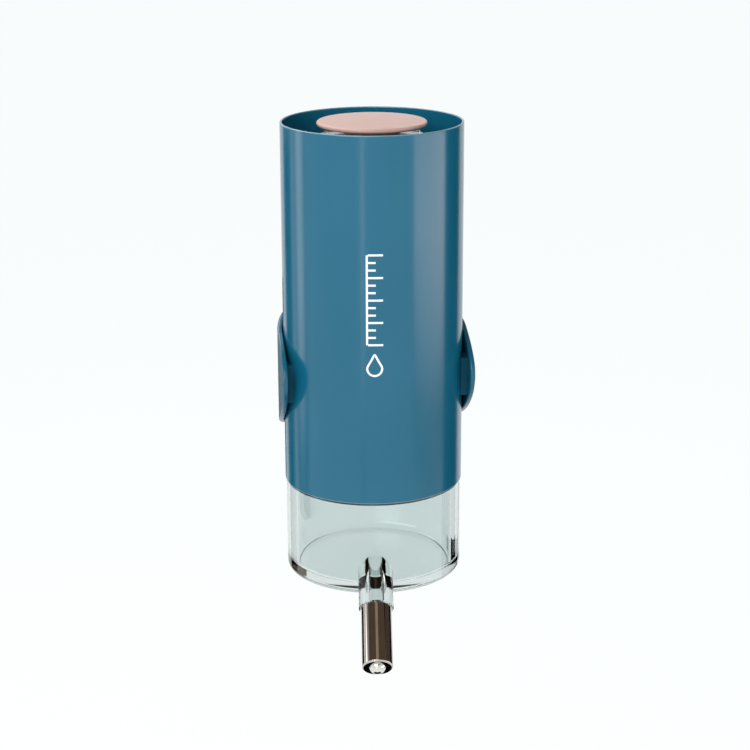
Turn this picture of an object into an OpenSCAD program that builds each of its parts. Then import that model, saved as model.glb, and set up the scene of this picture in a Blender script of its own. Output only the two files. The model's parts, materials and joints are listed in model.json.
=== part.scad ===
// Rabbit water bottle with a sleeved tank, a clear screw-on cup with an angled ball-valve spout,
// a pull-out fill plug, and a C-clip that a bolt and knob clamp to the wires of a cage.
//
// Frame: millimetres, +Z up. The origin is the centre of the clip's flat face that bears on the
// cage wires, and +Y points out of that face, towards the wires. The bottle stands on the -Y side.

/* [Sleeve] */
// Outer diameter of the coloured sleeve
sleeve_d = 68; // [56:1:90]
// Height of the sleeve, from its lower edge to the rim
sleeve_h = 137.8; // [100:0.2:220]
// Wall thickness of the sleeve
sleeve_wall = 0.9; // [0.7:0.1:2]
// Depth of the finger recess, from the rim down to the ledge
recess_depth = 12.8; // [11:0.2:25]
// Width of the ledge inside the sleeve that rests on the tank's shoulder
ledge_w = 1.5; // [1:0.1:4]
// Thickness of the ledge
ledge_t = 1.2; // [0.8:0.1:3]

/* [Water tank] */
// Radial clearance between the tank and the sleeve
tank_gap = 0.1; // [0.05:0.05:0.5]
// Wall thickness of the tank
tank_wall = 1.8; // [1.2:0.1:2.5]
// Outer diameter of the filling neck
neck_d = 37.5; // [30:0.5:44]
// Height from the rim down to the top of the neck
neck_drop = 4.6; // [4:0.1:7]
// Thickness of the neck's top plate
neck_plate_t = 2; // [1.2:0.1:3]
// Diameter of the filling hole
fill_hole_d = 20.9; // [15:0.1:25]
// Length of the land that grips the plug
land_h = 4.5; // [3:0.1:8]
// Wall thickness of the land
land_wall = 2; // [1.2:0.1:3]

/* [Fill plug] */
// Diameter of the plug's top disc
plug_d = 41; // [34:0.5:46]
// Thickness of the disc at its rounded edge
plug_edge_t = 1.7; // [1.2:0.1:3]
// How much the middle of the disc rises above its edge
plug_dome = 0.7; // [0.2:0.1:1.5]
// Height of the disc's edge above the rim
plug_rise = 0; // [-1:0.1:1]
// Radial clearance of the plug's stem in the filling hole
plug_gap = 0.05; // [0.02:0.01:0.1]
// How far the stem reaches below the land
plug_tail = 3; // [1:0.5:8]

/* [Base cup] */
// How far the cup's wall lies inside the sleeve's outer face
cup_inset = 0.3; // [0:0.1:1]
// Height of the visible cup, from its lip to its underside
cup_h = 36.55; // [28:0.05:70]
// Thickness of the cup's lip, which stands round the gasket
cup_lip = 1.35; // [0.6:0.05:1.4]
// Gap between the lip and the lower edge of the sleeve and tank
lip_gap = 0.05; // [0.02:0.01:0.2]
// Thickness of the cup's floor
cup_floor = 3.7; // [2:0.1:6]
// Radius round the bottom edge of the cup
cup_round = 2.5; // [1:0.1:3.5]
// Radius where the cup's floor meets its wall, inside
cup_inner_round = 1.5; // [0.5:0.1:3]
// Height of the collar that screws into the tank
collar_h = 11.5; // [8:0.5:20]
// Wall thickness of the collar
collar_wall = 1.45; // [1:0.05:3]
// Radial clearance of the collar in the tank
thread_gap = 0.05; // [0.02:0.01:0.1]
// Thickness of the gasket
gasket_t = 0.96; // [0.8:0.02:2]
// Gap left on each face of the gasket
gasket_gap = 0.02; // [0.01:0.01:0.05]
// Gap between the gasket's outer edge and the lip
gasket_side_gap = 0.1; // [0.05:0.05:0.3]

/* [Spout] */
// Angle between the spout and the vertical
spout_tilt = 52; // [40:1:60]
// Height of the spout's axis above the cup's underside, at the cup's wall
spout_rise = 7.8; // [7:0.1:12]
// Outer diameter of the moulded socket
socket_d = 13; // [12:0.1:18]
// Length of the socket along its axis, from the cup's wall
socket_len = 13.6; // [9:0.1:25]
// Bore that carries the water
water_bore_d = 5.2; // [3:0.1:5.4]
// Length of the nipple that the steel tube is pushed on to
nipple_len = 9.1; // [6:0.1:15]
// Outer diameter of the steel tube
tube_d = 11.5; // [10.5:0.1:12]
// Wall thickness of the steel tube over the nipple
tube_wall = 0.8; // [0.5:0.05:1.2]
// Radial clearance between the nipple and the steel tube
nipple_gap = 0.05; // [0.02:0.01:0.1]
// Distance from the socket to the seal's groove
groove_start = 3; // [2:0.1:4]
// Width of the seal's groove
groove_w = 1.6; // [1.3:0.1:2.5]
// Depth of the seal's groove
groove_depth = 1.1; // [0.8:0.05:1.2]
// Length of the bevel round the steel tip
tip_bevel = 0.5; // [0.2:0.1:1]

/* [Ball valve] */
// Diameter of each steel ball
ball_d = 6.35; // [5:0.05:7.5]
// Radial clearance of the balls in the tube
ball_gap = 0.07; // [0.03:0.01:0.1]
// How much wider the ball is than the tube's mouth, on the radius
seat_lap = 0.125; // [0.1:0.005:0.2]
// How far the tongue can push the balls in
ball_travel = 2; // [1:0.1:4]
// Length of the perforated stop behind the balls
stop_len = 2.65; // [1.5:0.05:5]
// Diameter of the water hole through the stop
stop_hole_d = 3; // [1.5:0.1:4]

/* [Clip] */
// Height of the clip's centre above the sleeve's lower edge
clip_height = 42.3; // [25:0.1:100]
// Radial gap between the clip and the sleeve
clip_gap = 0.3; // [0.2:0.05:1]
// Thickness of the clip's band
clip_wall = 1.9; // [1.5:0.1:4]
// How far the arms reach forward of the bottle's axis
arm_reach = 19; // [15:0.5:26]
// Height of the arms' noses above the clip's centre
nose_rise = 1.8; // [0:0.1:4]
// Height of the band's upper edge above the clip's centre, at the back
band_top = 21.5; // [19:0.5:30]
// Depth of the band's lower edge below the clip's centre, at the back
band_foot = 26; // [19:0.5:30]
// Distance behind the noses over which the arms widen to the band's full height
arm_widening = 37; // [30:1:50]
// Height of the grip pads
pad_h = 14.5; // [8:0.5:18]
// Depth of the grip pads' middle below the clip's centre
pad_sink = 0.9; // [0:0.1:3]
// Front end of each grip pad, forward of the bottle's axis
pad_front = 12; // [8:0.5:13]
// Back end of each grip pad, forward of the bottle's axis
pad_back = 3.5; // [3:0.5:6]
// Running clearance between the grip pads and the sleeve
pad_gap = 0.05; // [0.02:0.01:0.1]
// How far the bottle is turned in its clip
bottle_turn = -7; // [-30:1:30]

/* [Cage clamp] */
// Diameter of the round boss behind the clip
boss_d = 34; // [26:1:38]
// Thickness of the boss between the bolt's head and the cage
boss_web = 4; // [3:0.5:8]
// Depth of the bolt's head below the clip's inner face
head_recess = 1.7; // [0.5:0.1:4]
// Diameter of the clamp bolt
bolt_d = 6; // [5:0.5:8]
// Width of the bolt's hexagon head across its flats
bolt_head_w = 10; // [9:0.5:14]
// Thickness of the bolt's head
bolt_head_t = 4; // [3:0.5:6]
// Clearance round the bolt's shank and head in the boss
bolt_fit = 0.03; // [0.01:0.01:0.1]
// Opening for the cage wires
bar_gap = 5; // [4.6:0.1:10]
// Diameter of the rubber clamp pad
clamp_pad_d = 34; // [26:1:38]
// Thickness of the rubber clamp pad
clamp_pad_t = 1.2; // [0.8:0.1:3]
// Radial clearance of the rubber pad on the bolt
clamp_pad_gap = 1.3; // [0.5:0.1:3]
// Diameter of the clamp plate
clamp_plate_d = 38; // [30:1:44]
// Thickness of the clamp plate
clamp_plate_t = 4; // [2.5:0.5:8]
// Bevel round the clamp plate's edge on the knob's side
clamp_plate_bevel = 1; // [0.5:0.1:2]
// Radial clearance of the plate and washer on the bolt
slide_gap = 0.3; // [0.2:0.05:0.6]
// Diameter of the washer
washer_d = 12.5; // [11:0.5:18]
// Thickness of the washer
washer_t = 1.2; // [0.8:0.1:2.5]
// Gap between the washer and the knob
washer_gap = 0.05; // [0.02:0.01:0.1]
// Diameter of the knob's core
knob_core_d = 24; // [20:1:34]
// Number of lobes round the knob
knob_lobes = 6; // [3:1:9]
// Diameter of each lobe
lobe_d = 8; // [6:0.5:10]
// Height of the knob
knob_h = 13; // [10:0.5:20]
// Width of the knob's hexagon insert across its flats
insert_w = 10; // [9:0.5:12]
// Length of the knob's insert
insert_h = 9; // [6:0.5:10]
// Radial running clearance of the insert on the bolt
insert_gap = 0.03; // [0.02:0.01:0.08]
// Length of the bolt that shows past the knob
bolt_tail = 2; // [1:0.5:10]

/* [Hidden] */
$fn = 96;
cut = 1;

// Sleeve
sleeve_r = sleeve_d / 2;
sleeve_z0 = -clip_height;
rim_z = sleeve_z0 + sleeve_h;
ledge_z = rim_z - recess_depth - ledge_t;

// Tank: its shoulder carries the sleeve's ledge
tank_r = sleeve_r - sleeve_wall - tank_gap;
tank_in_r = tank_r - tank_wall;
shoulder_z = ledge_z;
neck_r = neck_d / 2;
neck_z = rim_z - neck_drop;
fill_hole_r = fill_hole_d / 2;

// Plug
plug_r = plug_d / 2;
stem_r = fill_hole_r - plug_gap;
disc_top_z = rim_z + plug_rise;
disc_z0 = disc_top_z - plug_edge_t;
stem_z0 = neck_z - land_h - plug_tail;
// radius of the dome that rises plug_dome over the disc's flat part
dome_base_r = plug_r - plug_edge_t / 2;
dome_r = (dome_base_r * dome_base_r + plug_dome * plug_dome) / (2 * plug_dome);

// Cup
cup_r = sleeve_r - cup_inset;
collar_r = tank_in_r - thread_gap;
cup_bore_r = collar_r - collar_wall;
cup_rim_z = sleeve_z0 - lip_gap;
cup_shoulder_z = sleeve_z0 - gasket_t - 2 * gasket_gap;
cup_z0 = cup_rim_z - cup_h;
gasket_r = cup_r - cup_lip - gasket_side_gap;

// Spout, with lengths measured along its axis from the cup's wall
socket_r = socket_d / 2;
socket_root = 8;
water_bore_r = water_bore_d / 2;
tube_r = tube_d / 2;
tube_in_r = tube_r - tube_wall;
nipple_r = tube_in_r - nipple_gap;
groove_r = nipple_r - groove_depth;
oring_d = tube_in_r - groove_r - 2 * gasket_gap;

// Ball valve, with lengths measured along the steel tube from its upper end
ball_r = ball_d / 2;
chamber_r = ball_r + ball_gap;
mouth_r = ball_r - seat_lap;
ball_to_mouth = sqrt(ball_r * ball_r - mouth_r * mouth_r);
// the seat's cone touches the ball where it meets the mouth
seat_depth = (chamber_r - mouth_r) * mouth_r / ball_to_mouth;
nipple_end_gap = 0.4;
ball_slack = 0.02;
chamber_start = nipple_len + nipple_end_gap;
stop_end = chamber_start + stop_len;
back_ball_pos = stop_end + ball_travel + ball_r + ball_slack;
valve_ball_pos = back_ball_pos + ball_d + ball_slack;
tube_len = valve_ball_pos + ball_to_mouth + ball_slack;

// Clip and cage clamp
clip_in_r = sleeve_r + clip_gap;
clip_out_r = clip_in_r + clip_wall;
head_y0 = clip_in_r + head_recess;
axis_to_bars = head_y0 + bolt_head_t + boss_web;
bolt_r = bolt_d / 2;
pad_y0 = bar_gap;
plate_y0 = pad_y0 + clamp_pad_t;
washer_y0 = plate_y0 + clamp_plate_t;
knob_y0 = washer_y0 + washer_t + washer_gap;
bolt_len = bolt_head_t + boss_web + knob_y0 + knob_h + bolt_tail;
bolt_bevel = 0.8;

teal = [0.2, 0.43, 0.55];
clear = [0.82, 0.92, 0.92, 0.4];
pink = [0.9, 0.71, 0.66];
black = [0.06, 0.06, 0.06];
steel = [0.72, 0.72, 0.7];

// A shape in the bottle's frame: its axis vertical, its spout towards -Y before it is turned
module at_bottle() {
    translate([0, -axis_to_bars, 0])
        rotate([0, 0, bottle_turn])
            children();
}

// A shape in the spout's frame: local +Z runs down the spout from the cup's wall
module at_spout(distance = 0) {
    at_bottle()
        translate([0, -cup_r, cup_z0 + spout_rise])
            rotate([180 - spout_tilt, 0, 0])
                translate([0, 0, distance])
                    children();
}

// A shape on the clamp bolt's axis: local +Z runs along +Y from y
module on_bolt(y) {
    translate([0, y, 0])
        rotate([-90, 0, 0])
            children();
}

// A hexagonal prism by its width across the flats
module hexagon(width, h) {
    cylinder(d = width / cos(30), h = h, $fn = 6);
}

module ring(outer_r, inner_r, h) {
    difference() {
        cylinder(r = outer_r, h = h);
        translate([0, 0, -cut])
            cylinder(r = inner_r, h = h + 2 * cut);
    }
}

// A rectangle from the axis out to r, with its lower outer corner rounded
module rounded_half(r, h, corner) {
    square([r - corner, h]);
    translate([0, corner])
        square([r, h - corner]);
    translate([r - corner, corner])
        circle(r = corner);
}

module outer_sleeve() {
    color(teal)
        at_bottle()
            rotate_extrude() {
                translate([sleeve_r - sleeve_wall, sleeve_z0])
                    square([sleeve_wall, sleeve_h - sleeve_wall / 2]);
                translate([sleeve_r - sleeve_wall / 2, rim_z - sleeve_wall / 2])
                    circle(d = sleeve_wall);
                translate([sleeve_r - sleeve_wall - ledge_w, ledge_z])
                    square([ledge_w + sleeve_wall / 2, ledge_t]);
            }
}

module water_tank() {
    color(clear)
        at_bottle()
            difference() {
                union() {
                    translate([0, 0, sleeve_z0])
                        cylinder(r = tank_r, h = shoulder_z - sleeve_z0);
                    translate([0, 0, shoulder_z - tank_wall])
                        cylinder(r = neck_r, h = neck_z - shoulder_z + tank_wall);
                }
                translate([0, 0, sleeve_z0 - cut])
                    cylinder(r = tank_in_r, h = shoulder_z - sleeve_z0 - tank_wall + cut);
                translate([0, 0, shoulder_z - tank_wall - cut])
                    ring(
                        neck_r - tank_wall,
                        fill_hole_r + land_wall,
                        neck_z - neck_plate_t - shoulder_z + tank_wall + cut
                    );
                translate([0, 0, shoulder_z - tank_wall - cut])
                    cylinder(
                        r = fill_hole_r + land_wall,
                        h = neck_z - land_h - shoulder_z + tank_wall + cut
                    );
                translate([0, 0, neck_z - land_h - cut])
                    cylinder(r = fill_hole_r, h = land_h + 2 * cut);
            }
}

module fill_plug() {
    color(pink)
        at_bottle() {
            rotate_extrude() {
                translate([0, disc_z0])
                    square([plug_r - plug_edge_t / 2, plug_edge_t]);
                translate([plug_r - plug_edge_t / 2, disc_z0 + plug_edge_t / 2])
                    circle(d = plug_edge_t);
                intersection() {
                    translate([0, disc_top_z + plug_dome - dome_r])
                        circle(r = dome_r, $fn = 360);
                    translate([0, disc_top_z - plug_edge_t / 2])
                        square([dome_base_r, plug_edge_t / 2 + plug_dome + cut]);
                }
            }
            translate([0, 0, stem_z0])
                cylinder(r = stem_r, h = disc_z0 + plug_edge_t / 2 - stem_z0);
        }
}

module base_gasket() {
    color(black)
        at_bottle()
            translate([0, 0, cup_shoulder_z + gasket_gap])
                ring(gasket_r, collar_r + thread_gap, gasket_t);
}

module base_cup() {
    color(clear)
        difference() {
            union() {
                at_bottle()
                    translate([0, 0, cup_z0])
                        rotate_extrude() {
                            rounded_half(cup_r, cup_shoulder_z - cup_z0, cup_round);
                            translate([cup_r - cup_lip, cup_round])
                                square([cup_lip, cup_h - cup_round]);
                            translate([0, cup_round])
                                square([collar_r, cup_shoulder_z - cup_z0 + collar_h - cup_round]);
                        }
                at_spout(-socket_root)
                    cylinder(r = socket_r, h = socket_root + socket_len);
                at_spout(socket_len - cut)
                    cylinder(r = nipple_r, h = nipple_len + cut);
            }
            at_bottle()
                translate([0, 0, cup_z0 + cup_floor])
                    rotate_extrude()
                        rounded_half(cup_bore_r, cup_h + collar_h, cup_inner_round);
            at_spout(-socket_root)
                cylinder(r = water_bore_r, h = socket_root + socket_len + nipple_len + cut);
            at_spout(socket_len + groove_start)
                ring(nipple_r + cut, groove_r, groove_w);
        }
}

module drinking_tube() {
    color(steel)
        at_spout(socket_len)
            difference() {
                union() {
                    cylinder(r = tube_r, h = tube_len - tip_bevel);
                    translate([0, 0, tube_len - tip_bevel])
                        cylinder(r1 = tube_r, r2 = tube_r - tip_bevel, h = tip_bevel);
                }
                translate([0, 0, -cut])
                    cylinder(r = tube_in_r, h = chamber_start + cut);
                cylinder(r = chamber_r, h = tube_len - seat_depth);
                translate([0, 0, tube_len - seat_depth])
                    cylinder(r1 = chamber_r, r2 = mouth_r, h = seat_depth);
                translate([0, 0, tube_len - seat_depth / 2])
                    cylinder(r = mouth_r, h = seat_depth);
            }
}

module tube_oring() {
    color(black)
        at_spout(socket_len + groove_start + groove_w / 2)
            rotate_extrude()
                translate([(tube_in_r + groove_r) / 2, 0])
                    circle(d = oring_d);
}

module ball_stop() {
    color("white")
        at_spout(socket_len + chamber_start)
            ring(chamber_r - ball_slack, stop_hole_d / 2, stop_len);
}

module valve_ball() {
    color(steel)
        at_spout(socket_len + valve_ball_pos)
            sphere(d = ball_d);
}

module back_ball() {
    color(steel)
        at_spout(socket_len + back_ball_pos)
            sphere(d = ball_d);
}

// Side outline of the clip: two half parabolas that meet at the nose of the arms
module arm_outline() {
    steps = 18;
    back = clip_out_r + cut;
    upper = [
        for (i = [0:steps])
            let (t = i / steps)
                [arm_widening * t * t - arm_reach, nose_rise + (band_top - nose_rise) * t]
    ];
    lower = [
        for (i = [steps:-1:1])
            let (t = i / steps)
                [arm_widening * t * t - arm_reach, nose_rise - (band_foot + nose_rise) * t]
    ];
    polygon(concat(upper, [[back, band_top], [back, -band_foot]], lower));
}

// Plan of the clip: a half ring round the back of the bottle and two straight arms
module clip_plan() {
    difference() {
        union() {
            circle(r = clip_out_r);
            translate([-clip_out_r, -arm_reach])
                square([2 * clip_out_r, arm_reach]);
        }
        circle(r = clip_in_r);
        translate([-clip_in_r, -arm_reach - clip_out_r])
            square([2 * clip_in_r, arm_reach + clip_out_r]);
        translate([-2 * clip_out_r, -arm_reach - 2 * clip_out_r])
            square([4 * clip_out_r, 2 * clip_out_r]);
    }
}

module clip_cradle() {
    color(teal)
        translate([0, -axis_to_bars, 0])
            difference() {
                union() {
                    intersection() {
                        translate([0, 0, -band_foot])
                            linear_extrude(band_foot + band_top)
                                clip_plan();
                        translate([-2 * clip_out_r, 0, 0])
                            rotate([90, 0, 90])
                                linear_extrude(4 * clip_out_r)
                                    arm_outline();
                    }
                    on_bolt(clip_in_r * cos(asin(boss_d / 2 / clip_in_r)))
                        cylinder(
                            d = boss_d,
                            h = axis_to_bars - clip_in_r * cos(asin(boss_d / 2 / clip_in_r))
                        );
                }
                translate([0, 0, -band_foot - cut])
                    cylinder(r = clip_in_r, h = band_foot + band_top + 2 * cut);
                on_bolt(clip_in_r)
                    cylinder(r = bolt_r + bolt_fit, h = axis_to_bars);
                on_bolt(clip_in_r - cut)
                    hexagon(bolt_head_w + 2 * bolt_fit, head_y0 - clip_in_r + bolt_head_t + cut);
            }
}

module grip_pad() {
    translate([0, -axis_to_bars, -pad_sink - pad_h / 2])
        linear_extrude(pad_h)
            difference() {
                translate([clip_in_r / 2, -pad_front])
                    square([clip_in_r / 2, pad_front - pad_back]);
                circle(r = sleeve_r + pad_gap);
            }
}

module grip_pad_left() {
    color(teal)
        mirror([1, 0, 0])
            grip_pad();
}

module grip_pad_right() {
    color(teal)
        grip_pad();
}

module clamp_bolt() {
    color(steel)
        on_bolt(head_y0 - axis_to_bars) {
            hexagon(bolt_head_w, bolt_head_t);
            cylinder(r = bolt_r, h = bolt_len - bolt_bevel);
            translate([0, 0, bolt_len - bolt_bevel])
                cylinder(r1 = bolt_r, r2 = bolt_r - bolt_bevel, h = bolt_bevel);
        }
}

module clamp_pad() {
    color(black)
        on_bolt(pad_y0)
            ring(clamp_pad_d / 2, bolt_r + clamp_pad_gap, clamp_pad_t);
}

module clamp_plate() {
    color(teal)
        on_bolt(plate_y0)
            difference() {
                union() {
                    cylinder(d = clamp_plate_d, h = clamp_plate_t - clamp_plate_bevel);
                    translate([0, 0, clamp_plate_t - clamp_plate_bevel])
                        cylinder(
                            d1 = clamp_plate_d,
                            d2 = clamp_plate_d - 2 * clamp_plate_bevel,
                            h = clamp_plate_bevel
                        );
                }
                translate([0, 0, -cut])
                    cylinder(r = bolt_r + slide_gap, h = clamp_plate_t + 2 * cut);
            }
}

module clamp_washer() {
    color(steel)
        on_bolt(washer_y0)
            ring(washer_d / 2, bolt_r + slide_gap, washer_t);
}

module clamp_knob() {
    color(teal)
        on_bolt(knob_y0)
            difference() {
                union() {
                    cylinder(d = knob_core_d, h = knob_h);
                    for (i = [0:knob_lobes - 1])
                        rotate([0, 0, i * 360 / knob_lobes])
                            translate([knob_core_d / 2, 0, 0])
                                cylinder(d = lobe_d, h = knob_h);
                }
                translate([0, 0, -cut])
                    cylinder(r = bolt_r + slide_gap, h = knob_h + 2 * cut);
                translate([0, 0, -cut])
                    hexagon(insert_w, insert_h + cut);
            }
}

module knob_insert() {
    color([0.78, 0.62, 0.32])
        on_bolt(knob_y0)
            difference() {
                hexagon(insert_w, insert_h);
                translate([0, 0, -cut])
                    cylinder(r = bolt_r + insert_gap, h = insert_h + 2 * cut);
            }
}

outer_sleeve();
water_tank();
fill_plug();
base_gasket();
base_cup();
drinking_tube();
tube_oring();
ball_stop();
valve_ball();
back_ball();
clip_cradle();
grip_pad_left();
grip_pad_right();
clamp_bolt();
clamp_pad();
clamp_plate();
clamp_washer();
clamp_knob();
knob_insert();
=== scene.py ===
import json
import math

import bpy
import numpy as np
from mathutils import Matrix, Vector


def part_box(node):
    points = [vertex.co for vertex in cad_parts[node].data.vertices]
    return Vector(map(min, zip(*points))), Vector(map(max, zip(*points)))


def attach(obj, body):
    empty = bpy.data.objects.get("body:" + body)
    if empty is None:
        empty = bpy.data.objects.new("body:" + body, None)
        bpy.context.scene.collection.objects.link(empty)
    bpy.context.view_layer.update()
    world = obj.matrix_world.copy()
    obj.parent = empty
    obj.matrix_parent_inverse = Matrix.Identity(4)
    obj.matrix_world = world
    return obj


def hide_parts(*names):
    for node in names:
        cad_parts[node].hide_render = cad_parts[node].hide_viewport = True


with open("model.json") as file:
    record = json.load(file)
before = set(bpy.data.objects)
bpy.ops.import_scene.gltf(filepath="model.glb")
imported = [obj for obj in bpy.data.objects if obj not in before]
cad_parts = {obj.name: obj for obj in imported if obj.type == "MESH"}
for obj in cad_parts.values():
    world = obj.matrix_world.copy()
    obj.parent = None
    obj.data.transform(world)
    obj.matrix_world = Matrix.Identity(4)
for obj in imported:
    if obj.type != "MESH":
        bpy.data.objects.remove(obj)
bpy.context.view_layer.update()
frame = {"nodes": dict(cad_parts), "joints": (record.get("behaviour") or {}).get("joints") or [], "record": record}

MM = 0.001
scene = bpy.context.scene
scene.view_settings.view_transform = "Standard"

# ---------------------------------------------------------------- places taken from the frame

joints = {joint["name"]: joint for joint in frame["joints"]}
bottle_axis = Vector(joints["bottle_turn"]["pos_m"])
spout_down = -Vector(joints["ball_push"]["axis"]).normalized()


def middle(node):
    """The middle of a CAD node's box."""
    low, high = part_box(node)
    return (low + high) / 2


sleeve_low, sleeve_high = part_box("outer_sleeve")
cup_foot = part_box("base_cup")[0].z
plug_low, plug_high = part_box("fill_plug")
rim_z = sleeve_high.z
sleeve_z0 = sleeve_low.z
sleeve_r = (sleeve_high.x - sleeve_low.x) / 2
front_ball = middle("valve_ball")
# the way that the bottle faces, on the ground plan
bottle_front = Vector((spout_down.x, spout_down.y, 0)).normalized()
bottle_turn = math.atan2(bottle_front.x, -bottle_front.y)

bottle_foot = Vector((bottle_axis.x, bottle_axis.y, 0))
bottle_place = Matrix.Translation(bottle_foot) @ Matrix.Rotation(bottle_turn, 4, "Z")
# local +Z runs down the spout from the middle of the front ball
spout_place = Matrix.Translation(front_ball) @ spout_down.to_track_quat("Z", "Y").to_matrix().to_4x4()


# ---------------------------------------------------------------- surfaces

def patch(points, wrap_along=False, wrap_across=False):
    """Vertices and faces of a grid of points: four neighbouring points make one face, and the grid
    joins up with itself where it wraps."""
    rows, columns = points.shape[:2]
    index = np.arange(rows * columns).reshape(rows, columns)
    if wrap_along:
        index = np.concatenate([index, index[:1]], axis=0)
    if wrap_across:
        index = np.concatenate([index, index[:, :1]], axis=1)
    corners = np.stack([index[:-1, :-1], index[1:, :-1], index[1:, 1:], index[:-1, 1:]], axis=-1)
    return points.reshape(-1, 3), corners.reshape(-1, 4)


def solid(name, *patches):
    """One smooth mesh object from patches. Points that fall together, as at a seam or a pole, are
    merged."""
    starts = np.cumsum([0] + [len(vertices) for vertices, _ in patches])
    vertices = np.concatenate([vertices for vertices, _ in patches])
    faces = np.concatenate([corners + start for (_, corners), start in zip(patches, starts)])
    keys = np.round(vertices / 1e-8).astype(np.int64)
    _, first, back = np.unique(keys, axis=0, return_index=True, return_inverse=True)
    faces = back.reshape(-1)[faces]
    rings = [list(dict.fromkeys(face)) for face in faces.tolist()]
    mesh = bpy.data.meshes.new(name)
    mesh.from_pydata(vertices[first].tolist(), [], [ring for ring in rings if len(ring) > 2])
    mesh.validate()
    smooth_by_area(mesh)
    thing = bpy.data.objects.new(name, mesh)
    scene.collection.objects.link(thing)
    return thing


def smooth_by_area(mesh):
    """Gives each vertex the normal that its largest faces agree on."""
    mesh.shade_smooth()
    count = len(mesh.vertices)
    normals = np.zeros(len(mesh.polygons) * 3)
    areas = np.zeros(len(mesh.polygons))
    sizes = np.zeros(len(mesh.polygons), int)
    corner_vertex = np.zeros(len(mesh.loops), int)
    mesh.polygons.foreach_get("normal", normals)
    mesh.polygons.foreach_get("area", areas)
    mesh.polygons.foreach_get("loop_total", sizes)
    mesh.loops.foreach_get("vertex_index", corner_vertex)
    weighted = np.repeat(normals.reshape(-1, 3) * areas[:, None], sizes, axis=0)
    total = np.zeros((count, 3))
    np.add.at(total, corner_vertex, weighted)
    total /= np.maximum(np.linalg.norm(total, axis=1, keepdims=True), 1e-20)
    mesh.normals_split_custom_set_from_vertices(total.tolist())


def placed(points, place):
    """Grid points carried by a placing matrix."""
    matrix = np.array(place)
    return points @ matrix[:3, :3].T + matrix[:3, 3]


def rounded(corners, radii, steps=6, closed=True):
    """A polyline with each corner replaced by an arc of its own radius. An arc starts and ends where
    a circle of that radius touches the two sides, and is a turn about the circle's centre."""
    corners = np.array(corners, float)
    count = len(corners)
    out = []
    for i in range(count):
        here = corners[i]
        if not closed and i in (0, count - 1):
            out.append(here)
            continue
        before = corners[i - 1] - here
        after = corners[(i + 1) % count] - here
        before /= np.linalg.norm(before)
        after /= np.linalg.norm(after)
        half = math.acos(np.clip(before @ after, -1, 1)) / 2
        centre = here + (before + after) / np.linalg.norm(before + after) * radii[i] / math.sin(half)
        start = here + before * radii[i] / math.tan(half) - centre
        end = here + after * radii[i] / math.tan(half) - centre
        a0 = math.atan2(start[1], start[0])
        turn = (math.atan2(end[1], end[0]) - a0 + math.pi) % (2 * math.pi) - math.pi
        angles = a0 + turn * np.linspace(0, 1, steps + 1)
        out.extend(centre + radii[i] * np.stack([np.cos(angles), np.sin(angles)], axis=1))
    return np.array(out)


def turned(name, profile, place, steps=192, closed=True):
    """A surface of revolution: each point (r, z) of the profile goes round the local Z axis to
    (r cos a, r sin a, z). The profile runs with the body on its left, so that faces point outwards."""
    angle = np.linspace(0, 2 * math.pi, steps, endpoint=False)
    radius = profile[:, 0][None, :]
    grid = np.stack(
        [
            radius * np.cos(angle)[:, None],
            radius * np.sin(angle)[:, None],
            np.broadcast_to(profile[:, 1][None, :], (steps, len(profile))),
        ],
        axis=-1,
    )
    return solid(name, patch(placed(grid, place), True, closed))


# ---------------------------------------------------------------- materials

class Wire:
    """One value in a material. Arithmetic on it adds Math nodes."""

    def __init__(self, finish, socket):
        self.finish = finish
        self.socket = socket

    def calc(self, operation, *values):
        return self.finish.node("ShaderNodeMath", {"operation": operation}, dict(enumerate(values)))

    def __add__(self, other):
        return self.calc("ADD", self, other)

    __radd__ = __add__

    def __sub__(self, other):
        return self.calc("SUBTRACT", self, other)

    def __rsub__(self, other):
        return self.calc("SUBTRACT", other, self)

    def __mul__(self, other):
        return self.calc("MULTIPLY", self, other)

    __rmul__ = __mul__


class Nodes:
    """The nodes of one tree, a material's or the world's."""

    def __init__(self, tree):
        self.tree = tree

    def node(self, kind, settings=None, values=None, output=0):
        """Adds any node: its settings first, then its sockets' values or links. Returns an output."""
        made = self.tree.nodes.new(kind)
        for key, value in (settings or {}).items():
            if key == "stops":
                ramp = made.color_ramp
                while len(ramp.elements) < len(value):
                    ramp.elements.new(0.5)
                for element, (position, colour) in zip(ramp.elements, value):
                    element.position = position
                    element.color = (*colour, 1) if len(colour) == 3 else colour
            else:
                setattr(made, key, value)
        for key, value in (values or {}).items():
            if isinstance(value, Wire):
                self.tree.links.new(value.socket, made.inputs[key])
            else:
                made.inputs[key].default_value = value
        return Wire(self, made.outputs[output])

    def blend(self, mask, first, second):
        """A colour that goes from first to second as the mask goes from 0 to 1."""
        first, second = (c if isinstance(c, Wire) else (*c, 1) for c in (first, second))
        return self.node("ShaderNodeMix", {"data_type": "RGBA"}, {0: mask, 6: first, 7: second}, output=2)


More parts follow.
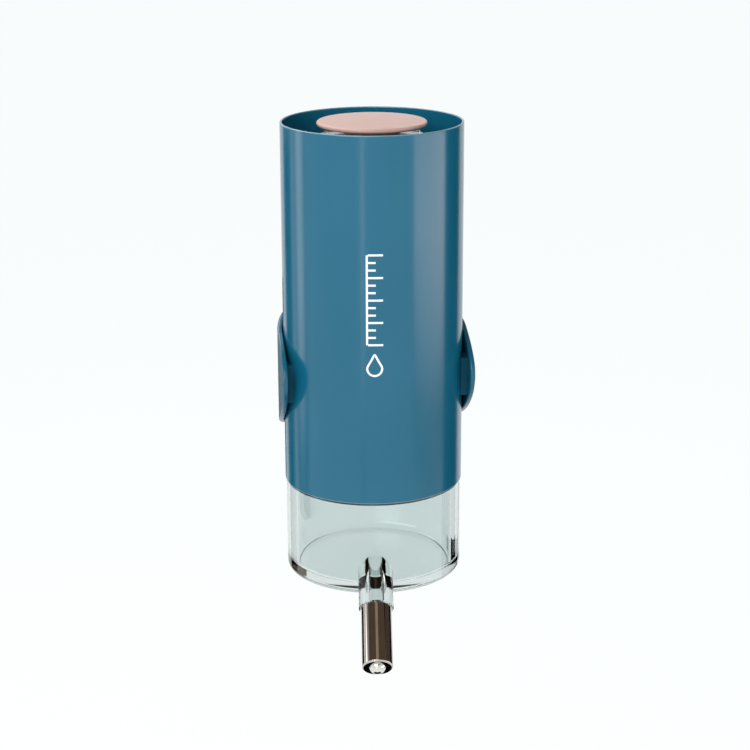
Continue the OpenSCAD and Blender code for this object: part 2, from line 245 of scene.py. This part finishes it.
class Finish(Nodes):
    """A material: its nodes, and its shader's sockets that are the same all over."""

    def __init__(self, name, **fixed):
        self.material = bpy.data.materials.new(name)
        self.material.use_nodes = True
        super().__init__(self.material.node_tree)
        self.shader = self.tree.nodes["Principled BSDF"]
        for socket, value in fixed.items():
            self.shader.inputs[socket.replace("_", " ")].default_value = value

    def place(self):
        """Object coordinates, in metres."""
        return self.node("ShaderNodeTexCoord", output="Object")

    def noise(self, scale, detail=2.0, stretch=(1, 1, 1), place=None):
        """Noise from 0 to 1 about the middle value 0.5, its pattern scaled along each axis."""
        where = self.node(
            "ShaderNodeMapping", {"vector_type": "POINT"}, {"Vector": place or self.place(), "Scale": stretch}
        )
        return self.node("ShaderNodeTexNoise", {}, {"Vector": where, "Scale": scale, "Detail": detail})

    def height(self):
        """The Z of Object coordinates, in metres."""
        return self.node("ShaderNodeSeparateXYZ", {}, {0: self.place()}, output="Z")

    def smooth(self, value, low, high):
        """0 below low and 1 above high, with a smooth step between."""
        return self.node(
            "ShaderNodeMapRange",
            {"interpolation_type": "SMOOTHSTEP"},
            {"Value": value, "From Min": low, "From Max": high},
        )

    def bump(self, height, depth, strength=1.0):
        """A Bump node's normal; depth is how far a height of 1 stands up, in metres."""
        return self.node("ShaderNodeBump", {}, {"Height": height, "Distance": depth, "Strength": strength})

    def feed(self, **links):
        """Links values to the shader's sockets."""
        for socket, value in links.items():
            self.tree.links.new(value.socket, self.shader.inputs[socket.replace("_", " ")])
        return self.material


def moulded_teal(name, dark, pale, rough_low, rough_high, grain):
    """Moulded plastic: two close teals drift into each other in soft clouds, the gloss varies with
    finer clouds, and a very fine grain stands up by a few micrometres."""
    finish = Finish(name, IOR=1.49)
    cloud = finish.noise(26, 3)
    speck = finish.noise(900, 2)
    gloss = finish.noise(120, 3)
    return finish.feed(
        Base_Color=finish.blend(finish.smooth(cloud * 0.8 + speck * 0.2, 0.3, 0.7), dark, pale),
        Roughness=rough_low + (rough_high - rough_low) * gloss,
        Normal=finish.bump(finish.noise(1400, 3), grain),
    )


def sleeve_plastic():
    """The sleeve's plastic: like the other moulded teal, but paler within half a millimetre of the rim
    and of the lower edge, a painted highlight that stands for the light the rounded edges catch."""
    finish = Finish("sleeve_teal_moulding", IOR=1.49)
    cloud = finish.noise(22, 3)
    gloss = finish.noise(90, 3)
    height = finish.height()
    # painted highlight: rim and foot lighten the colour along the rounded rim and lower edge, standing for the
    # light they catch
    rim = finish.smooth(height, rim_z - 0.45 * MM, rim_z - 0.1 * MM)
    foot = 1 - finish.smooth(height, sleeve_z0 + 0.15 * MM, sleeve_z0 + 0.5 * MM)
    edge = finish.node("ShaderNodeMath", {"operation": "MAXIMUM"}, {0: rim, 1: foot})
    body = finish.blend(finish.smooth(cloud, 0.3, 0.7), SLEEVE_DARK, SLEEVE_PALE)
    return finish.feed(
        Base_Color=finish.blend(edge * 0.55, body, PAINTED_EDGE_HIGHLIGHT),
        Roughness=0.15 + 0.07 * gloss,
        Normal=finish.bump(finish.noise(1500, 2), 0.0012 * MM),
    )


def clear_plastic(name, tint, tint_deep, rough, thick_tint=None):
    """Clear moulded plastic: light passes through it, faintly tinted, with slow ripples left by the
    mould and a few hazier clouds. With a thick tint, it is darker and a little frosted in the solid
    corner round its base, outside the bore and within a few millimetres of the underside."""
    finish = Finish(name, IOR=1.49, Transmission_Weight=1.0)
    cloud = finish.noise(60, 3)
    colour = finish.blend(finish.smooth(cloud, 0.35, 0.65), tint, tint_deep)
    haze = rough * finish.smooth(finish.noise(140, 3), 0.45, 0.8)
    if thick_tint:
        flat = finish.node(
            "ShaderNodeMapping",
            {"vector_type": "POINT"},
            {"Vector": finish.place(), "Location": (-bottle_axis.x, -bottle_axis.y, 0), "Scale": (1, 1, 0)},
        )
        radius = finish.node("ShaderNodeVectorMath", {"operation": "LENGTH"}, {0: flat}, output="Value")
        corner = finish.smooth(radius, CUP_BORE_R - 0.2 * MM, CUP_BORE_R + 0.4 * MM)
        corner = corner * (1 - finish.smooth(finish.height(), cup_foot + 3.0 * MM, cup_foot + 4.2 * MM))
        colour = finish.blend(corner, colour, thick_tint)
        haze = haze + corner * 0.10
    return finish.feed(Base_Color=colour, Roughness=haze, Normal=finish.bump(finish.noise(45, 1), 0.004 * MM))


def silicone():
    """Matt silicone: a warm pink with pale dusty clouds, and a fine matt grain."""
    finish = Finish("plug_silicone_matt", IOR=1.41)
    cloud = finish.noise(70, 4)
    return finish.feed(
        Base_Color=finish.blend(finish.smooth(cloud, 0.35, 0.7), (0.545, 0.345, 0.30), (0.57, 0.37, 0.325)),
        Roughness=0.27 + 0.10 * finish.noise(240, 3),
        Normal=finish.bump(finish.noise(2200, 3), 0.003 * MM),
    )


def rubber(name, dark, pale):
    """Rubber: dark with a dusty bloom in patches, hardly any shine, and a coarse matt grain."""
    finish = Finish(name, IOR=1.5, Specular_IOR_Level=0.12)
    bloom = finish.smooth(finish.noise(300, 4), 0.45, 0.8)
    return finish.feed(
        Base_Color=finish.blend(bloom, dark, pale),
        Roughness=0.5 + 0.3 * bloom,
        Normal=finish.bump(finish.noise(1800, 3), 0.006 * MM),
    )


def turned_metal(name, bright, dull, rough_low, rough_high, place, lines, depth):
    """Turned or drawn metal: fine rings across the part's axis, which vary its gloss and stand up by
    less than a micrometre, and slow clouds in its colour."""
    finish = Finish(name, Metallic=1.0)
    back = place.inverted().to_euler()
    local = finish.node(
        "ShaderNodeMapping", {"vector_type": "POINT"}, {"Vector": finish.place(), "Rotation": tuple(back)}
    )
    rings = finish.noise(lines, 3, (0.02, 0.02, 1), local)
    cloud = finish.noise(220, 3)
    return finish.feed(
        Base_Color=finish.blend(finish.smooth(cloud, 0.35, 0.7), bright, dull),
        Roughness=rough_low + (rough_high - rough_low) * rings,
        Normal=finish.bump(rings, depth),
    )


def plated(name, bright, dull, rough_low, rough_high):
    """Plated metal: a mottled colour and gloss, as zinc and brass have."""
    finish = Finish(name, Metallic=1.0)
    mottle = finish.smooth(finish.noise(420, 4), 0.35, 0.7)
    return finish.feed(
        Base_Color=finish.blend(mottle, bright, dull),
        Roughness=rough_low + (rough_high - rough_low) * mottle,
        Normal=finish.bump(finish.noise(1600, 2), 0.002 * MM),
    )


def nylon():
    """White nylon: faintly cloudy and waxy."""
    finish = Finish("stop_nylon_white", IOR=1.53)
    cloud = finish.noise(500, 3)
    return finish.feed(
        Base_Color=finish.blend(cloud, (0.80, 0.79, 0.75), (0.72, 0.71, 0.67)),
        Roughness=0.35 + 0.15 * cloud,
        Normal=finish.bump(finish.noise(2600, 2), 0.003 * MM),
    )


def print_ink():
    """Screen-printed white ink: almost opaque, with a slight mottle and a soft gloss."""
    finish = Finish("white_print_ink", IOR=1.5)
    mottle = finish.noise(1500, 3)
    return finish.feed(
        Base_Color=finish.blend(mottle, (0.86, 0.89, 0.89), (0.78, 0.82, 0.83)),
        Roughness=0.3 + 0.15 * mottle,
    )


CUP_BORE_R = 29.7 * MM
SLEEVE_DARK = (0.004, 0.106, 0.183)
SLEEVE_PALE = (0.006, 0.113, 0.195)
# the pale colour of the painted highlight on the sleeve's rim and lower edge
PAINTED_EDGE_HIGHLIGHT = (0.28, 0.40, 0.46)
CLIP_DARK = (0.004, 0.088, 0.150)
CLIP_PALE = (0.006, 0.096, 0.163)

finishes = {
    "sleeve_teal": sleeve_plastic(),
    "clip_teal": moulded_teal("clip_teal_moulding", CLIP_DARK, CLIP_PALE, 0.20, 0.30, 0.002 * MM),
    "clear_tank": clear_plastic("clear_tank_moulding", (0.88, 0.93, 0.93), (0.86, 0.92, 0.92), 0.10),
    "clear_cup": clear_plastic(
        "clear_cup_moulding", (0.745, 0.805, 0.80), (0.735, 0.80, 0.795), 0.012, (0.60, 0.655, 0.65)
    ),
    "plug_silicone": silicone(),
    "seal_rubber": rubber("seal_black_rubber", (0.004, 0.004, 0.004), (0.010, 0.010, 0.010)),
    "grip_rubber": rubber("grip_teal_rubber", (0.002, 0.060, 0.100), (0.004, 0.070, 0.115)),
    "spout_steel": turned_metal(
        "spout_polished_steel", (0.60, 0.56, 0.52), (0.55, 0.51, 0.47), 0.05, 0.11,
        spout_place, 900, 0.0006 * MM,
    ),
    "ball_steel": turned_metal(
        "ball_mirror_steel", (0.78, 0.76, 0.72), (0.72, 0.70, 0.67), 0.02, 0.05, spout_place, 500, 0.0002 * MM
    ),
    "bolt_steel": plated("bolt_zinc_plate", (0.60, 0.60, 0.58), (0.46, 0.46, 0.45), 0.24, 0.42),
    "insert_brass": plated("insert_turned_brass", (0.76, 0.56, 0.24), (0.62, 0.44, 0.18), 0.18, 0.34),
    "stop_nylon": nylon(),
}
ink = print_ink()

slots = {part["node"]: part["material_slot"] for part in frame["record"]["subparts"]}
for node, thing in frame["nodes"].items():
    for slot in thing.material_slots:
        slot.material = finishes[slots[node]]


def stands_for(thing, node, body):
    """Makes a new piece take a CAD node's place, body and finish."""
    thing.data.materials.append(finishes[slots[node]])
    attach(thing, body)
    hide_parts(node)
    return thing


# ---------------------------------------------------------------- sleeve

SLEEVE_WALL = 0.9 * MM
LEDGE_WIDTH = 1.5 * MM
LEDGE_THICK = 1.2 * MM
RECESS_DEPTH = 12.8 * MM


def sleeve_shell():
    """The sleeve: a thin tube turned about the bottle's axis, with a rounded rim and a ledge inside."""
    inner = sleeve_r - SLEEVE_WALL
    ledge_top = rim_z - RECESS_DEPTH
    ledge_low = ledge_top - LEDGE_THICK
    corners = [
        (inner, sleeve_z0),
        (sleeve_r, sleeve_z0),
        (sleeve_r, rim_z),
        (inner, rim_z),
        (inner, ledge_top),
        (inner - LEDGE_WIDTH, ledge_top),
        (inner - LEDGE_WIDTH, ledge_low),
        (inner, ledge_low),
    ]
    radii = np.array([0.1, 0.28, 0.42, 0.42, 0.2, 0.2, 0.2, 0.1]) * MM
    return turned("sleeve_shell", rounded(corners, radii), bottle_place, 256)


stands_for(sleeve_shell(), "outer_sleeve", "bottle")

# ---------------------------------------------------------------- fill plug

PLUG_EDGE = 1.7 * MM
STEM_R = 10.4 * MM


def plug_cap():
    """The plug: a low dome with a rounded edge, on a stem that narrows a little where it meets the
    disc and has a rounded lower edge. The profile runs from the axis, out and back to it."""
    radius = (plug_high.x - plug_low.x) / 2
    dome_start = radius - PLUG_EDGE / 2
    dome = plug_high.z - rim_z
    reach = np.linspace(dome_start, 0, 24)
    crown = np.stack([reach, rim_z + dome * (1 - (reach / dome_start) ** 2)], axis=1)
    edge_angle = np.linspace(-math.pi / 2, math.pi / 2, 17)
    edge = np.stack(
        [
            dome_start + PLUG_EDGE / 2 * np.cos(edge_angle),
            rim_z - PLUG_EDGE / 2 + PLUG_EDGE / 2 * np.sin(edge_angle),
        ],
        axis=1,
    )
    under = rounded(
        [
            (0, plug_low.z),
            (STEM_R, plug_low.z),
            (STEM_R, rim_z - PLUG_EDGE),
            (dome_start, rim_z - PLUG_EDGE),
        ],
        np.array([0, 0.8, 0.5, 0]) * MM,
        closed=False,
    )
    profile = np.concatenate([under[:-1], edge, crown[1:]])
    return turned("plug_cap", profile, bottle_place, 160, closed=False)


stands_for(plug_cap(), "fill_plug", "plug")

# ---------------------------------------------------------------- steel spout tube

TUBE_R = 5.75 * MM
TUBE_BORE_R = 4.95 * MM
CHAMBER_R = 3.245 * MM
MOUTH_R = 3.05 * MM
BALL_TO_TIP = 0.902 * MM
SEAT_DEPTH = 0.674 * MM
TUBE_LENGTH = 24.64 * MM
CHAMBER_START = 9.5 * MM


def steel_tube():
    """The steel tube: turned about the spout's axis, with a bevelled tip that the front ball stands
    in, a tapered seat, the balls' chamber and a wider bore over the nipple."""
    tip = BALL_TO_TIP
    top = tip - TUBE_LENGTH
    step = top + CHAMBER_START
    corners = [
        (TUBE_R, top),
        (TUBE_R, tip - 0.5 * MM),
        (TUBE_R - 0.5 * MM, tip),
        (MOUTH_R, tip),
        (CHAMBER_R, tip - SEAT_DEPTH),
        (CHAMBER_R, step),
        (TUBE_BORE_R, step),
        (TUBE_BORE_R, top),
    ]
    radii = np.array([0.12, 0.15, 0.15, 0.05, 0.1, 0.1, 0.1, 0.12]) * MM
    return turned("steel_tube", rounded(corners, radii, 5), spout_place, 160)


stands_for(steel_tube(), "drinking_tube", "cup")

# ---------------------------------------------------------------- clip

CLIP_IN_R = 34.3 * MM
CLIP_WALL = 1.9 * MM
CLIP_MID_R = CLIP_IN_R + CLIP_WALL / 2
ARM_REACH = 19 * MM
NOSE_RISE = 1.8 * MM
BAND_TOP = 21.5 * MM
BAND_FOOT = 26 * MM
ARM_WIDENING = 37 * MM
EDGE_ROUND = 0.6 * MM
BOSS_R = 17 * MM
BORE_R = 3.03 * MM
POCKET_HALF_W = 5.03 * MM
POCKET_FLOOR = -4 * MM


def clip_plan(run, out):
    """The clip's plan: run is the length along the middle of its wall from the nose of the arm on +X,
    and out is the distance outwards from there. Each arm is straight, and between them the wall goes
    half round the bottle's axis at its middle radius."""
    half_turn = math.pi * CLIP_MID_R
    angle = np.clip((run - ARM_REACH) / CLIP_MID_R, 0, math.pi)
    forward = np.maximum(ARM_REACH - run, 0) + np.maximum(run - ARM_REACH - half_turn, 0)
    radius = CLIP_MID_R + out
    x = bottle_axis.x + radius * np.cos(angle)
    y = bottle_axis.y + radius * np.sin(angle) - forward
    return x, y


def band_edge(count, full):
    """One edge of the band on its unrolled face, right round from the nose of the arm on +X to the
    nose of the other: the run along the band, the distance from the noses' height, which is
    full * sqrt(distance behind the nose / widening) levelled off smoothly at full, and the edge's
    normal, whose second part points away from the noses' height."""
    t = np.linspace(0, 1, count)
    run = (ARM_REACH + CLIP_MID_R * math.pi / 2) * t ** 2
    angle = np.maximum(run - ARM_REACH, 0) / CLIP_MID_R
    behind_nose = np.minimum(run, ARM_REACH) + CLIP_MID_R * np.sin(angle)
    share = np.sqrt(behind_nose / ARM_WIDENING)
    sharpness = 24.0
    reach = full * share / (1 + share ** sharpness) ** (1 / sharpness)
    slope = np.stack([np.gradient(run), np.gradient(reach)], axis=1)
    slope[0] = (0, 1)
    slope /= np.linalg.norm(slope, axis=1, keepdims=True)
    normal = np.stack([-slope[:, 1], slope[:, 0]], axis=1)
    normal[-1] = (0, 1)
    total = 2 * run[-1]
    run = np.concatenate([run, total - run[-2::-1]])
    reach = np.concatenate([reach, reach[-2::-1]])
    normal = np.concatenate([normal, normal[-2::-1] * (-1, 1)])
    return run, reach, normal


def clip_band():
    """The clip's band: at each point along it a closed section goes up the outer face, round the
    upper edge, down the inner face and round the lower edge. The rounding stands back from each edge
    along the edge's own normal, so it also runs round the noses of the arms."""
    bend = np.linspace(0, math.pi, 17)
    inset = -EDGE_ROUND + EDGE_ROUND * np.sin(bend)
    out = np.where(bend < math.pi / 2, 1, -1) * (CLIP_WALL / 2 - EDGE_ROUND) + EDGE_ROUND * np.cos(bend)
    out[8] = 0
    edges = []
    for full, up in ((BAND_TOP - NOSE_RISE, 1), (BAND_FOOT + NOSE_RISE, -1)):
        run, reach, normal = band_edge(150, full)
        along = run[:, None] + inset[None, :] * normal[:, :1]
        height = NOSE_RISE + up * (reach[:, None] + inset[None, :] * normal[:, 1:])
        edges.append((along, height))
    (top_run, top_height), (foot_run, foot_height) = edges
    climb = np.linspace(0, 1, 13)[1:-1][None, :]
    face_run = foot_run[:, :1] * (1 - climb) + top_run[:, :1] * climb
    face_height = foot_height[:, :1] * (1 - climb) + top_height[:, :1] * climb
    face_out = np.full_like(face_run, CLIP_WALL / 2)
    edge_out = np.broadcast_to(out[None, :], top_run.shape)
    loop_run = np.concatenate([face_run, top_run, face_run[:, ::-1], foot_run[:, ::-1]], axis=1)
    loop_height = np.concatenate(
        [face_height, top_height, face_height[:, ::-1], foot_height[:, ::-1]], axis=1
    )
    loop_out = np.concatenate([face_out, edge_out, -face_out, edge_out[:, ::-1]], axis=1)
    x, y = clip_plan(loop_run, loop_out)
    return patch(np.stack([x, y, loop_height], axis=-1), False, True)


def clip_boss():
    """The round boss behind the band, as a grid of angle about the bolt and a closed section: the
    bars' face, the bore, the hexagonal pocket for the bolt's head and the rounded outer edge. It
    starts in the middle of the band's wall, at y = axis + sqrt(mid_r ** 2 - x ** 2)."""
    angle = np.linspace(0, 2 * math.pi, 144, endpoint=False)
    hexagon = POCKET_HALF_W / np.cos((angle + math.pi / 6) % (math.pi / 3) - math.pi / 6)
    rounding = 0.8 * MM
    turn = np.linspace(0, math.pi / 2, 7)

    def ring(radius, y):
        radius = np.broadcast_to(radius, angle.shape)
        x, z = radius * np.cos(angle), radius * np.sin(angle)
        if y is None:
            y = bottle_axis.y + np.sqrt(CLIP_MID_R ** 2 - x ** 2)
        return np.stack([x, np.broadcast_to(y, x.shape), z], axis=-1)

    rings = [ring(BOSS_R, None)]
    for a in turn:
        rings.append(ring(BOSS_R - rounding + rounding * math.cos(a), -rounding + rounding * math.sin(a)))
    rings.append(ring(BORE_R + 0.3 * MM, 0.0))
    rings.append(ring(BORE_R, -0.3 * MM))
    rings.append(ring(BORE_R, POCKET_FLOOR))
    rings.append(ring(hexagon, POCKET_FLOOR))
    rings.append(ring(hexagon, None))
    return patch(np.stack(rings, axis=0), True, True)


stands_for(solid("clip_band_and_boss", clip_band(), clip_boss()), "clip_cradle", "bracket")

# ---------------------------------------------------------------- printed mark

STROKE = 0.75 * MM
INK_THICK = 0.02 * MM
INK_LIFT = 0.015 * MM
MARK_LOW = 7.2 * MM
MARK_HALF_W = 3.1 * MM
SCALE_FOOT = MARK_LOW + 12 * MM
TICK_GAP = 2.78 * MM
TICKS = 13


def stroke(path, closed=False):
    """A printed stroke: a path on the sleeve's unrolled face, given width across its own direction
    and a thin closed section, and laid on the sleeve as (r sin(x / r), -r cos(x / r), z)."""
    if closed:
        step = np.roll(path, -1, axis=0) - np.roll(path, 1, axis=0)
    else:
        step = np.gradient(path, axis=0)
    step /= np.linalg.norm(step, axis=1, keepdims=True)
    side = np.stack([-step[:, 1], step[:, 0]], axis=1)
    across = np.array([0.5, -0.5, -0.5, 0.5]) * STROKE
    lift = np.array([0.0, 0.0, 1.0, 1.0]) * INK_THICK + INK_LIFT
    flat = path[:, None, :] + side[:, None, :] * across[None, :, None]
    radius = sleeve_r + lift[None, :]
    angle = flat[..., 0] / sleeve_r
    grid = np.stack([radius * np.sin(angle), -radius * np.cos(angle), flat[..., 1]], axis=-1)
    if not closed:
        caps = [np.repeat(grid[end].mean(axis=0)[None, None, :], 4, axis=1) for end in (0, -1)]
        grid = np.concatenate([caps[0], grid, caps[1]], axis=0)
    return patch(placed(grid, bottle_place), closed, True)


def level_mark():
    """The printed mark: a drop, drawn as a circle whose upper side is drawn up to a point, and above
    it a scale of thirteen ticks on an upright line, every third one long."""
    a = np.linspace(0, 2 * math.pi, 96, endpoint=False)
    pull = np.maximum(np.cos(a), 0) ** 2.2
    drop = np.stack(
        [
            (MARK_HALF_W - STROKE / 2) * np.sin(a) * (1 - 0.55 * pull),
            MARK_LOW + MARK_HALF_W - (MARK_HALF_W - STROKE / 2) * -np.cos(a) * (1 + 0.9 * pull),
        ],
        axis=1,
    )
    strokes = [stroke(drop[::-1], closed=True)]
    rise = SCALE_FOOT + np.linspace(0, (TICKS - 1) * TICK_GAP, 60)
    strokes.append(stroke(np.stack([np.full(60, -MARK_HALF_W + STROKE / 2), rise], axis=1)))
    for tick in range(TICKS):
        reach = 2 * MARK_HALF_W if tick % 3 == 0 else 1.15 * MARK_HALF_W
        x = np.linspace(-MARK_HALF_W + STROKE, -MARK_HALF_W + reach, 8)
        strokes.append(stroke(np.stack([x, np.full(8, SCALE_FOOT + tick * TICK_GAP)], axis=1)))
    return solid("level_mark", *strokes)


mark = level_mark()
mark.data.materials.append(ink)
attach(mark, "bottle")

# ---------------------------------------------------------------- studio

HEADING = math.radians(8.2)
CAMERA_PITCH = math.radians(16.79)
CAMERA_ROLL = math.radians(-0.216)
CAMERA_DISTANCE = 0.699
CAMERA_ABOVE_RIM = 0.1131
CAMERA_ASIDE = 0.0008
LENS_MM = 91.62
SENSOR_MM = 36
FLOOR_Z = -0.6
# just clear of the floor, where the tall flags stand
FLAG_FOOT = FLOOR_Z + 2 * MM
forward_way = Vector((math.sin(HEADING), math.cos(HEADING), 0))
right_way = Vector((math.cos(HEADING), -math.sin(HEADING), 0))
aim = Vector((bottle_axis.x, bottle_axis.y, 0.02))


def way(azimuth, elevation):
    """A direction: azimuth 0 is straight away from the camera, positive to its right."""
    a, e = math.radians(azimuth), math.radians(elevation)
    return (forward_way * math.cos(a) + right_way * math.sin(a)) * math.cos(e) + Vector((0, 0, math.sin(e)))


camera = bpy.data.objects.new("camera", bpy.data.cameras.new("camera"))
camera.data.lens = LENS_MM
camera.data.sensor_width = SENSOR_MM
camera.location = (
    Vector((bottle_axis.x, bottle_axis.y, rim_z + CAMERA_ABOVE_RIM))
    + right_way * CAMERA_ASIDE
    - forward_way * CAMERA_DISTANCE
)
camera.rotation_euler = (
    Matrix.Rotation(-HEADING, 3, "Z")
    @ Matrix.Rotation(math.pi / 2 - CAMERA_PITCH, 3, "X")
    @ Matrix.Rotation(CAMERA_ROLL, 3, "Z")
).to_euler()
scene.collection.objects.link(camera)
scene.camera = camera


def glow(name, colour, strength, fade=None):
    """A stage card's material: light that fades towards the card's edges by its UV map."""
    finish = Finish(name)
    finish.shader.inputs["Base Color"].default_value = (0, 0, 0, 1)
    finish.shader.inputs["Specular IOR Level"].default_value = 0
    finish.shader.inputs["Emission Color"].default_value = (*colour, 1)
    finish.shader.inputs["Emission Strength"].default_value = strength
    if fade:
        where = finish.node("ShaderNodeTexCoord", output="UV")
        across = finish.node("ShaderNodeSeparateXYZ", {}, {0: where}, output="X")
        up = finish.node("ShaderNodeSeparateXYZ", {}, {0: where}, output="Y")
        side, foot, top = fade
        mask = finish.smooth(across, 0, side) * finish.smooth(1 - across, 0, side)
        mask = mask * finish.smooth(up, 0, foot) * finish.smooth(1 - up, 0, top)
        finish.feed(Emission_Color=finish.blend(mask, (0, 0, 0), colour))
    return finish.material


def stage_card(thing, material, through):
    """Gives a card its material and hides it from the camera. Rays that come through a clear piece see it
    only if through is set."""
    thing.data.materials.append(material)
    thing.visible_camera = False
    thing.visible_transmission = through


def card(name, azimuth, distance, low, high, width, material, through=True):
    """An upright card that faces the bottle: a grid of width and height with its own UV map."""
    centre = Vector((aim.x, aim.y, 0)) + way(azimuth, 0) * distance
    across = way(azimuth + 90, 0)
    u, v = np.meshgrid(np.linspace(0, 1, 2), np.linspace(0, 1, 2), indexing="ij")
    corner = np.array(centre - across * width / 2)
    points = corner + u[..., None] * np.array(across) * width
    points[..., 2] = low + v * (high - low)
    thing = solid(name, patch(points))
    uv = thing.data.uv_layers.new(name="card")
    flat = np.array([vertex.co for vertex in thing.data.vertices])
    along = (flat - corner) @ np.array(across) / width
    rise = (flat[:, 2] - low) / (high - low)
    order = np.zeros(len(thing.data.loops), int)
    thing.data.loops.foreach_get("vertex_index", order)
    uv.data.foreach_set("uv", np.stack([along[order], rise[order]], axis=1).ravel())
    stage_card(thing, material, through)


black = Finish("black_flag", Roughness=0.9, Specular_IOR_Level=0.0)
black.shader.inputs["Base Color"].default_value = (0.004, 0.004, 0.004, 1)

dim = glow("brown_dim_card", (0.075, 0.056, 0.042), 1.0)
left_light = glow("left_strip_glow", (1.0, 0.97, 0.94), 2.7, (0.4, 0.24, 0.3))
right_light = glow("right_box_glow", (1.0, 0.96, 0.93), 3.5, (0.05, 0.6, 0.1))
front_light = glow("front_strip_glow", (1.0, 0.98, 0.96), 4.6, (0.5, 0.3, 0.3))
flag = black.material

# name, azimuth, distance, lower edge, upper edge, width, material, seen through clear pieces
for setting in (
    ("left_strip", -78, 1.1, -0.47, 0.55, 0.44, left_light, True),
    ("right_box", 101.5, 1.1, -0.42, -0.02, 1.14, right_light, True),
    ("front_strip", -168, 1.2, -0.46, 0.2, 0.12, front_light, True),
    ("right_flag", 60, 1.05, FLAG_FOOT, -0.02, 0.70, flag, False),
    ("right_upper_dim", 62, 1.04, -0.02, 0.75, 0.86, dim, True),
    ("right_top_flag", 77, 0.6, 0.34, 1.1, 0.20, flag, False),
    ("left_flag", -48, 1.0, FLAG_FOOT, -0.05, 0.38, flag, False),
    ("left_near_flag", -19, 0.36, -0.17, -0.05, 0.075, flag, False),
    ("right_low_flag", 36, 0.95, FLAG_FOOT, -0.44, 0.28, flag, True),
):
    card(*setting)


def level_card(name, centre, height, half_width, half_length, material, through=True):
    """A level card: a grid across and along the way that the camera looks."""
    across = np.array(right_way) * half_width
    along = np.array(forward_way) * half_length
    u, v = np.meshgrid(np.linspace(-1, 1, 2), np.linspace(-1, 1, 2), indexing="ij")
    points = np.array((centre.x, centre.y, height)) + u[..., None] * across + v[..., None] * along
    stage_card(solid(name, patch(points)), material, through)


level_card("under_flag", front_ball, -0.20, 0.05, 0.05, flag, through=False)
level_card("overhead_strip", front_ball, 0.95, 0.15, 0.5, glow("overhead_glow", (0.36, 0.29, 0.20), 1.0))


def lamp(name, azimuth, elevation, distance, size, watts, colour=(1, 1, 1)):
    """A square soft light that faces the bottle."""
    made = bpy.data.objects.new(name, bpy.data.lights.new(name, "AREA"))
    made.data.size = size
    made.data.energy = watts
    made.data.color = colour
    made.location = aim + way(azimuth, elevation) * distance
    made.rotation_euler = (-way(azimuth, elevation)).to_track_quat("-Z", "Y").to_euler()
    made.visible_camera = False
    scene.collection.objects.link(made)


lamp("front_fill", 202, 38, 1.8, 1.3, 26)
lamp("back_top", -35, 48, 1.6, 0.9, 14, (1, 0.97, 0.95))

FLOOR_HALF = 15.0
floor_u, floor_v = np.meshgrid([-FLOOR_HALF, FLOOR_HALF], [-FLOOR_HALF, FLOOR_HALF], indexing="ij")
floor = solid("floor", patch(np.stack([floor_u, floor_v, np.full((2, 2), FLOOR_Z)], axis=-1)))
floor_finish = Finish("pale_floor", Roughness=0.9, Specular_IOR_Level=0.0)
floor_finish.shader.inputs["Base Color"].default_value = (0.10, 0.10, 0.10, 1)
floor_finish.shader.inputs["Emission Color"].default_value = (0.955, 0.99, 0.99, 1)
floor_finish.shader.inputs["Emission Strength"].default_value = 0.95
floor_finish.material.cycles.emission_sampling = "NONE"
floor.data.materials.append(floor_finish.material)

world = bpy.data.worlds.new("studio")
world.use_nodes = True
scene.world = world
sky = Nodes(world.node_tree)
direction = sky.node("ShaderNodeTexCoord", output="Generated")
upward = sky.node("ShaderNodeSeparateXYZ", {}, {0: direction}, output="Z")
room = sky.node(
    "ShaderNodeValToRGB",
    {"stops": ((0.42, (0.92, 0.93, 0.93)), (0.62, (0.10, 0.075, 0.055)))},
    {0: upward},
)
straight = sky.node("ShaderNodeLightPath", output="Is Camera Ray")
backdrop = sky.blend(straight, room, (0.90, 0.95, 0.95))
sky.tree.links.new(backdrop.socket, sky.tree.nodes["Background"].inputs["Color"])
